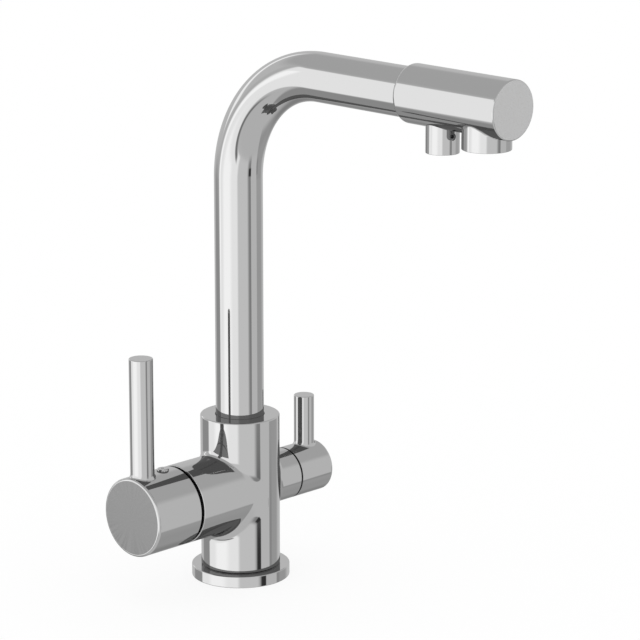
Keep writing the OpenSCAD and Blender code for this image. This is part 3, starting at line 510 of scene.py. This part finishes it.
def outlet_head():
    """The head's barrel with the aerator's boss and the nozzle's spigot."""
    chamber_r = HEAD_R - HEAD_WALL
    barrel_start = HEAD_START + HEAD_SET
    head = turned("outlet_head_shell", [
        (TUBE_R, barrel_start), (HEAD_R, barrel_start, HEAD_ROUND),
        (HEAD_R, CAP_START), (chamber_r, CAP_START), (chamber_r, TUBE_END), (TUBE_R, TUBE_END)],
        ON_HEAD, ring=True, grain=GRAIN, sides=CAST_SIDES)
    inner_z = SPOUT_Z - (HEAD_R + chamber_r) / 2
    carve(head, bar(AERATOR_R, AER_LO.z + AERATOR_COLLAR, SPOUT_Z - chamber_r / 2,
                    at=(0, AERATOR_Y), grain=GRAIN), "UNION")
    carve(head, bar(NOZZLE_SPIGOT_R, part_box("flow_straightener")[1].z, inner_z,
                    at=(0, NOZZLE_Y)), "UNION")
    thread_r = AERATOR_R - AERATOR_BOSS_WALL
    washer_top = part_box("aerator_washer")[1].z
    carve(head, turned("Tool", [
        (0, AER_LO.z), (thread_r, AER_LO.z), (thread_r, washer_top),
        (thread_r - AERATOR_WALL - AERATOR_LIP, washer_top),
        (thread_r - AERATOR_WALL - AERATOR_LIP, SPOUT_Z), (0, SPOUT_Z)],
        Matrix.Translation((0, AERATOR_Y, 0))))
    carve(head, bar(NOZZLE_BORE_R, NOZ_LO.z, SPOUT_Z, at=(0, NOZZLE_Y)))
    dressed(head, [
        wall(ON_HEAD, HEAD_R, barrel_start + HEAD_ROUND, CAP_START),
        wall(Matrix.Translation((0, AERATOR_Y, 0)), AERATOR_R, AER_LO.z, SPOUT_Z)],
        ((0, SPOUT_Z), (HEAD_BLEND, HEAD_BLEND)))
    return head


def head_end_cap():
    return turned("head_end_cap_shell", [
        (0, CAP_START), (HEAD_R, CAP_START), (HEAD_R, HEAD_END, HEAD_EDGE), (0, HEAD_END)], ON_HEAD)


def aerator_housing():
    thread_r = AERATOR_R - AERATOR_BOSS_WALL
    insert_r = thread_r - AERATOR_WALL
    throat_r = insert_r - AERATOR_LIP
    collar_z = AER_LO.z + AERATOR_COLLAR
    return turned("aerator_housing_shell", [
        (throat_r, AER_LO.z, TINY_EDGE), (AERATOR_R, AER_LO.z, TINY_EDGE), (AERATOR_R, collar_z),
        (thread_r, collar_z), (thread_r, AER_HI.z), (insert_r, AER_HI.z),
        (insert_r, AER_LO.z + AERATOR_WEB), (throat_r, AER_LO.z + AERATOR_WEB)],
        Matrix.Translation((0, AERATOR_Y, 0)), ring=True)


def filter_nozzle():
    """The nozzle, whose top follows the head's barrel, with its screw's hole."""
    place = Matrix.Translation((0, NOZZLE_Y, 0))
    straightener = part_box("flow_straightener")
    nozzle = turned("filter_nozzle_shell", [
        (NOZZLE_BORE_R, NOZ_LO.z, TINY_EDGE), (NOZZLE_R, NOZ_LO.z, TINY_EDGE), (NOZZLE_R, SPOUT_Z),
        (NOZZLE_SPIGOT_R, SPOUT_Z), (NOZZLE_SPIGOT_R, straightener[0].z),
        (NOZZLE_BORE_R, straightener[0].z)], place, ring=True)
    carve(nozzle, bar(HEAD_R, HEAD_START, HEAD_END, ON_HEAD))
    to_screw = (Matrix.Translation((0, NOZZLE_Y, SPOUT_Z - NOZZLE_SCREW_DROP))
                @ Matrix.Rotation(-NOZZLE_SCREW_TURN, 4, "Z") @ Matrix.Rotation(math.pi / 2, 4, "X"))
    carve(nozzle, bar(NOZZLE_SCREW_R, NOZZLE_SPIGOT_R - OVER, NOZZLE_R + OVER, to_screw))
    dressed(nozzle, [wall(place, NOZZLE_R, NOZ_LO.z + TINY_EDGE, SPOUT_Z)])
    return nozzle


def handle_cap(name, r, rim_u, face_u, rim, edge, hollow, lever_u, place):
    """A handle's cap with its hollow and the grub screw's hole, which starts a third of
    the way out, under the lever."""
    cap = turned(name, [
        (0, rim_u + hollow), (r - CAP_WALL, rim_u + hollow), (r - CAP_WALL, rim_u), (r - rim, rim_u),
        (r, rim_u + rim), (r, face_u, edge), (0, face_u)], place)
    down = place @ Matrix.Translation((0, 0, lever_u)) @ Matrix.Rotation(-math.pi / 2, 4, "Y")
    carve(cap, bar(GRUB_R, r / 3, r + OVER, down))
    dressed(cap, [wall(place, r, rim_u + rim, face_u - edge)])
    return cap


def lever(name, node, cap_r, place):
    """A lever rod, whose flared foot follows the round of its cap."""
    low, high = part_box(node)
    r = (high.x - low.x) / 2 - LEVER_FLARE
    top = high.z - ARM_Z
    theta = np.arange(ROUND_SIDES) * 2 * math.pi / ROUND_SIDES

    def ring(radius, lift):
        saddle = np.sqrt(cap_r ** 2 - (radius * np.sin(theta)) ** 2)
        return np.stack((radius * np.cos(theta), radius * np.sin(theta), saddle + lift), -1)

    def flat_ring(radius, height):
        level = np.full(ROUND_SIDES, height)
        return np.stack((radius * np.cos(theta), radius * np.sin(theta), level), -1)

    def flare(a):
        return ring(r + FOOT_SPREAD * (1 - math.sin(a)), FOOT_RISE * (1 - math.cos(a)))

    def edge(a):
        return flat_ring(r - LEVER_EDGE * (1 - math.cos(a)), top - LEVER_EDGE * (1 - math.sin(a)))

    def smooth(curve):
        """The rings of a curved strip, with normals from the curve's own slopes."""
        points, normals = [], []
        for k in range(ARC_STEPS + 1):
            a = math.pi / 2 * k / ARC_STEPS
            here = curve(a)
            along = curve(a + SLOPE_STEP) - curve(a - SLOPE_STEP)
            round_it = np.roll(here, -1, axis=0) - np.roll(here, 1, axis=0)
            across = np.cross(round_it, along)
            points.append(here)
            normals.append(across / np.linalg.norm(across, axis=1)[:, None])
        return np.array(points), np.array(normals)

    out = flat_ring(1, 0)
    up = np.zeros_like(out)
    up[:, 2] = 1
    foot, sunk = ring(r + FOOT_SPREAD, 0), ring(r + FOOT_SPREAD, -FOOT_SINK)
    centre = np.zeros_like(out)
    centre[:, 2] = cap_r - FOOT_RISE
    rod = np.array((ring(r, FOOT_RISE), flat_ring(r, top - LEVER_EDGE)))
    lid = np.array((edge(math.pi / 2), flat_ring(0, top)))
    turn = place @ Matrix.Rotation(math.pi / 2, 4, "Y")
    return piece_of(name, [
        (np.array((centre, sunk)), np.array((-up, -up))),
        (np.array((sunk, foot)), np.array((out, out))), smooth(flare),
        (rod, np.array((out, out))), smooth(edge), (lid, np.array((up, up)))], turn)


def index_plug():
    """A low button with a dimple in its middle."""
    low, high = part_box("index_plug")
    r, rounding = (high.x - low.x) / 2, (high.z - low.z) / 3
    return turned("index_plug_shell", [
        (0, low.z), (r, low.z), (r, high.z, rounding), (DIMPLE_R, high.z, TINY_EDGE),
        (DIMPLE_R - DIMPLE_DEPTH, high.z - DIMPLE_DEPTH), (0, high.z - DIMPLE_DEPTH)],
        Matrix.Translation(((low.x + high.x) / 2, 0, 0)))


# Materials
def linear(value):
    """The linear light of a display value from 0 to 255."""
    v = value / 255
    return v / 12.92 if v <= 0.04045 else ((v + 0.055) / 1.055) ** 2.4


class Tree:
    """A short hand for shader nodes: each call makes a node, sets values and links inputs."""

    def __init__(self, nodes):
        self.nodes = nodes
        nodes.nodes.clear()

    def feed(self, socket, value):
        if isinstance(value, bpy.types.NodeSocket):
            self.nodes.links.new(value, socket)
        else:
            socket.default_value = value

    def add(self, kind, settings=None, **inputs):
        made = self.nodes.nodes.new(kind)
        for key, value in (settings or {}).items():
            setattr(made, key, value)
        for key, value in inputs.items():
            self.feed(made.inputs[int(key)] if key.isdigit() else made.inputs[key], value)
        return made

    def math(self, how, a, b=0.0, c=0.0):
        made = self.nodes.nodes.new("ShaderNodeMath")
        made.operation = how
        for socket, value in zip(made.inputs, (a, b, c)):
            self.feed(socket, value)
        return made.outputs[0]


def finish(name, color, metallic, rough, waves, grain, spread=0.0):
    """A turned, cast or moulded finish. rough is the range of its roughness, waves and
    grain are (size, height) of its slow unevenness and its fine texture, in metres, and
    spread is how far its colour varies."""
    made = bpy.data.materials.new(name)
    made.use_nodes = True
    tree = Tree(made.node_tree)
    place = tree.add("ShaderNodeTexCoord").outputs["Object"]
    slow, fine = (
        tree.add("ShaderNodeTexNoise", Vector=place, Scale=1 / size, Detail=detail, Roughness=coarse)
        for size, (detail, coarse) in ((waves[0], SLOW_NOISE), (grain[0], FINE_NOISE)))
    shine = tree.add("ShaderNodeMapRange", Value=fine.outputs["Fac"],
                     **{"From Min": NOISE_RANGE[0], "From Max": NOISE_RANGE[1],
                        "To Min": rough[0], "To Max": rough[1]})
    big = tree.add("ShaderNodeBump", Height=slow.outputs["Fac"], Distance=waves[1], Strength=1.0)
    small = tree.add("ShaderNodeBump", Height=fine.outputs["Fac"], Distance=grain[1], Strength=1.0,
                     Normal=big.outputs["Normal"])
    base = (*color, 1)
    if spread:
        dark, light = ((*(c * (1 + s * spread) for c in color), 1) for s in (-1, 1))
        base = tree.add("ShaderNodeMix", {"data_type": "RGBA"},
                        **{"0": slow.outputs["Fac"], "6": dark, "7": light}).outputs[2]
    shader = tree.add("ShaderNodeBsdfPrincipled", Metallic=metallic, Roughness=shine.outputs["Result"],
                      Normal=small.outputs["Normal"], **{"Base Color": base})
    tree.add("ShaderNodeOutputMaterial", Surface=shader.outputs[0])
    return made


def paint(piece, finish_of, chosen):
    """Gives the faces whose centres are chosen a second finish."""
    piece.data.materials.append(finish_of)
    last = len(piece.data.materials) - 1
    for face in piece.data.polygons:
        if chosen(face.center):
            face.material_index = last


def at_height(axis, height):
    """Chooses what lies at that height along the world axis."""
    return lambda at: abs(at[axis] - height) < NEAR


def inside(place, r, start, end):
    """Chooses what lies within that radius and those heights of the frame."""
    to_frame = place.inverted()

    def chosen(at):
        local = to_frame @ at
        return start < local.z < end and local.xy.length < r
    return chosen


# Stage
def make_camera():
    lens = bpy.data.cameras.new("camera")
    lens.sensor_width = SENSOR
    lens.lens = FOCAL_PIXELS * SENSOR / IMAGE_PIXELS
    lens.clip_start, lens.clip_end = NEAREST_SEEN, FARTHEST_SEEN
    camera = bpy.data.objects.new("camera", lens)
    camera.location = CAMERA_AT
    camera.rotation_euler = (math.pi / 2 - CAMERA_PITCH, 0, CAMERA_YAW - math.pi / 2)
    bpy.context.scene.collection.objects.link(camera)
    bpy.context.scene.camera = camera


def make_world():
    """Plain white for the camera and for all light on matt pieces. What metal gives back is
    the studio's panels, and they are dimmer in metal that is itself seen in metal."""
    world = bpy.data.worlds.new("studio")
    bpy.context.scene.world = world
    world.use_nodes = True
    tree = Tree(world.node_tree)
    toward = tree.add("ShaderNodeSeparateXYZ", Vector=tree.add("ShaderNodeTexCoord").outputs["Generated"])
    x, y, z = toward.outputs
    turn = tree.math("DIVIDE", tree.math("ARCTAN2", y, x), DEGREE)
    rise = tree.math("DIVIDE", tree.math("ARCSINE", z), DEGREE)

    def step(value, at, softness):
        return tree.add("ShaderNodeMapRange", {"interpolation_type": "SMOOTHSTEP"}, Value=value,
                        **{"From Min": at - softness / 2, "From Max": at + softness / 2}).outputs[0]

    def less(a, b):
        return tree.math("SUBTRACT", a, b)

    seen = linear(ROOM_GREY) / CHROME
    for start, soft_start, end, soft_end, foot, soft_foot, top, soft_top, slant, grey in PANELS:
        middle, half = (start + end) / 2, (end - start) / 2
        across = tree.math("WRAP", less(turn, middle), HALF_TURN, -HALF_TURN)
        height = less(rise, tree.math("MULTIPLY", across, slant))
        within = 1.0
        if half < HALF_TURN:
            within = less(step(across, -half, soft_start), step(across, half, soft_end))
        rising = less(step(height, foot, soft_foot), step(height, top, soft_top))
        mask = tree.math("MULTIPLY", within, rising)
        seen = tree.math("MULTIPLY_ADD", mask, less(linear(grey) / CHROME, seen), seen)
    path = tree.add("ShaderNodeLightPath")
    twice = tree.math("GREATER_THAN", path.outputs["Glossy Depth"], SECOND_DEPTH)
    seen = tree.math("MULTIPLY", seen, tree.math("MULTIPLY_ADD", twice, SECOND_LOOK - 1, 1.0))
    light = tree.math("MULTIPLY_ADD", path.outputs["Is Glossy Ray"], less(seen, 1.0), 1.0)
    shader = tree.add("ShaderNodeBackground", Color=(1, 1, 1, 1), Strength=light)
    tree.add("ShaderNodeOutputWorld", Surface=shader.outputs[0])


def make_floor():
    """A pale floor with a part of the tap's shadow. The metal sees the panels through it."""
    mesh = bpy.data.meshes.new("floor")
    half = FLOOR_HALF
    corners = [(-half, -half, 0), (half, -half, 0), (half, half, 0), (-half, half, 0)]
    mesh.from_pydata(corners, [], [(0, 1, 2, 3)])
    floor = bpy.data.objects.new("floor", mesh)
    floor.location.z = -FLOOR_GAP
    bpy.context.scene.collection.objects.link(floor)
    made = bpy.data.materials.new("floor_paint")
    made.use_nodes = True
    tree = Tree(made.node_tree)
    shaded = tree.add("ShaderNodeBsdfDiffuse", Color=(1, 1, 1, 1))
    white = tree.add("ShaderNodeEmission", Color=(1, 1, 1, 1), Strength=1.0)
    clear = tree.add("ShaderNodeBsdfTransparent")
    path = tree.add("ShaderNodeLightPath")
    bright = tree.math("MULTIPLY", path.outputs["Is Camera Ray"], FLOOR_WHITE)
    pale = tree.add("ShaderNodeMixShader", **{"0": bright, "1": shaded.outputs[0], "2": white.outputs[0]})
    mixed = tree.add("ShaderNodeMixShader", **{"0": path.outputs["Is Glossy Ray"],
                                               "1": pale.outputs[0], "2": clear.outputs[0]})
    tree.add("ShaderNodeOutputMaterial", Surface=mixed.outputs[0])
    mesh.materials.append(made)


FINISHES = {
    "chrome": finish("chrome", (CHROME, CHROME, CHROME), 1.0, (0.02, 0.05), (16 * MM, 0.012 * MM),
                     (0.8 * MM, 0.0003 * MM)),
    "brass": finish("brass", (0.72, 0.55, 0.27), 1.0, (0.22, 0.36), (6 * MM, 0.01 * MM),
                    (0.4 * MM, 0.002 * MM), 0.06),
    "steel": finish("steel", (0.5, 0.5, 0.51), 1.0, (0.2, 0.34), (5 * MM, 0.01 * MM),
                    (0.3 * MM, 0.002 * MM), 0.05),
    "seal_rubber": finish("seal_rubber", (0.05, 0.05, 0.055), 0.0, (0.6, 0.8), (4 * MM, 0.02 * MM),
                          (0.3 * MM, 0.01 * MM), 0.15),
    "ceramic": finish("ceramic", (0.86, 0.85, 0.82), 0.0, (0.15, 0.25), (8 * MM, 0.005 * MM),
                      (0.2 * MM, 0.001 * MM), 0.02),
    "white_plastic": finish("white_plastic", (0.85, 0.85, 0.84), 0.0, (0.35, 0.5), (6 * MM, 0.01 * MM),
                            (0.3 * MM, 0.004 * MM), 0.03),
    "grey_plastic": finish("grey_plastic", (0.3, 0.33, 0.36), 0.0, (0.35, 0.5), (6 * MM, 0.01 * MM),
                           (0.3 * MM, 0.004 * MM), 0.05),
}
# One satin chrome in two copies: the mixer cap's face darkened, as painted shade, and the head's end disc
# lighter and partly matt, as painted light
SATIN_PAINTED_SHADE, SATIN_PAINTED_LIGHT = (
    finish(name, (share, share, share), metallic, (0.26, 0.32), (20 * MM, 0.004 * MM),
           (0.3 * MM, 0.0006 * MM), 0.01)
    for name, share, metallic in (("satin_chrome_painted_shade", 0.36, 1.0), ("satin_chrome_painted_light", 0.85, 0.83)))
# Near black: painted shade, standing in for the shade in the gaps, hollows and mouths
GAP_PAINTED_SHADE = finish("gap_painted_shade", (0.03, 0.03, 0.03), 0.3, (0.5, 0.65), (5 * MM, 0.02 * MM),
                  (0.4 * MM, 0.006 * MM), 0.12)

for part in frame["record"]["subparts"]:
    shown = frame["nodes"][part["node"]].data
    shown.materials.clear()
    shown.materials.append(FINISHES[part["material_slot"]])

mixer_lever_u = -(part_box("mixer_lever")[0].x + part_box("mixer_lever")[1].x) / 2
filter_lever_u = (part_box("filter_lever")[0].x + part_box("filter_lever")[1].x) / 2
at_mixer_lever = ON_MIXER @ Matrix.Translation((0, 0, mixer_lever_u))
at_filter_lever = ON_FILTER @ Matrix.Translation((0, 0, filter_lever_u))
SHELLS = [
    (casting(), "body_casting", "body"),
    (base_ring(), "base_ring", "body"),
    (spout_tube(), "spout_tube", "spout"),
    (outlet_head(), "outlet_head", "spout"),
    (head_end_cap(), "head_end_cap", "spout"),
    (aerator_housing(), "aerator_housing", "spout"),
    (filter_nozzle(), "filter_nozzle", "spout"),
    (handle_cap("mixer_cap_shell", MIXER_R, MIXER_GAP_END, MIXER_FACE, MIXER_CAP_RIM, MIXER_CAP_EDGE,
                MIXER_HOLLOW, mixer_lever_u, ON_MIXER), "mixer_cap", "mixer_handle"),
    (lever("mixer_lever_shell", "mixer_lever", MIXER_R, at_mixer_lever),
     "mixer_lever", "mixer_handle"),
    (index_plug(), "index_plug", "mixer_handle"),
    (handle_cap("filter_cap_shell", FILTER_R, FILTER_GAP_END, FILTER_FACE, FILTER_RIM, FILTER_CAP_EDGE,
                FILTER_HOLLOW, filter_lever_u, ON_FILTER), "filter_cap", "filter_handle"),
    (lever("filter_lever_shell", "filter_lever", FILTER_R, at_filter_lever),
     "filter_lever", "filter_handle"),
]
# Second finishes: painted shade on the hollows, mouths and gaps, and the two satin faces, which carry
# painted shade and painted light
PAINTED = {
    "body_casting": [
        # The arms' mouths: painted shade
        (GAP_PAINTED_SHADE, inside(ON_MIXER, MIXER_R - MIXER_RIM, COLUMN_R, MIXER_END + NEAR)),
        (GAP_PAINTED_SHADE, inside(ON_FILTER, FILTER_R - FILTER_RIM, COLUMN_R, FILTER_END + NEAR))],
    "mixer_cap": [
        # The mixer cap's hollow and rim by the gap: painted shade
        (GAP_PAINTED_SHADE, inside(ON_MIXER, MIXER_R - CAP_WALL / 2, MIXER_GAP_END - NEAR,
                          MIXER_FACE - MIXER_CAP_EDGE)),
        # The mixer cap's face: painted shade
        (SATIN_PAINTED_SHADE, at_height(0, -MIXER_FACE))],
    "filter_cap": [
        # The filter cap's hollow, rim and outer chamfer by the gap: painted shade
        (GAP_PAINTED_SHADE, inside(ON_FILTER, FILTER_R - NEAR, FILTER_GAP_END - NEAR,
                          FILTER_FACE - FILTER_CAP_EDGE))],
    # The head's end disc: painted light
    "head_end_cap": [(SATIN_PAINTED_LIGHT, at_height(1, -HEAD_END))],
}
for piece, node, body in SHELLS:
    piece.data.materials.clear()
    piece.data.materials.append(FINISHES["chrome"])
    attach(piece, body)
    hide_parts(node)
    for finish_of, chosen in PAINTED.get(node, ()):
        paint(piece, finish_of, chosen)

make_camera()
make_world()
make_floor()
bpy.context.scene.view_settings.view_transform = "Standard"
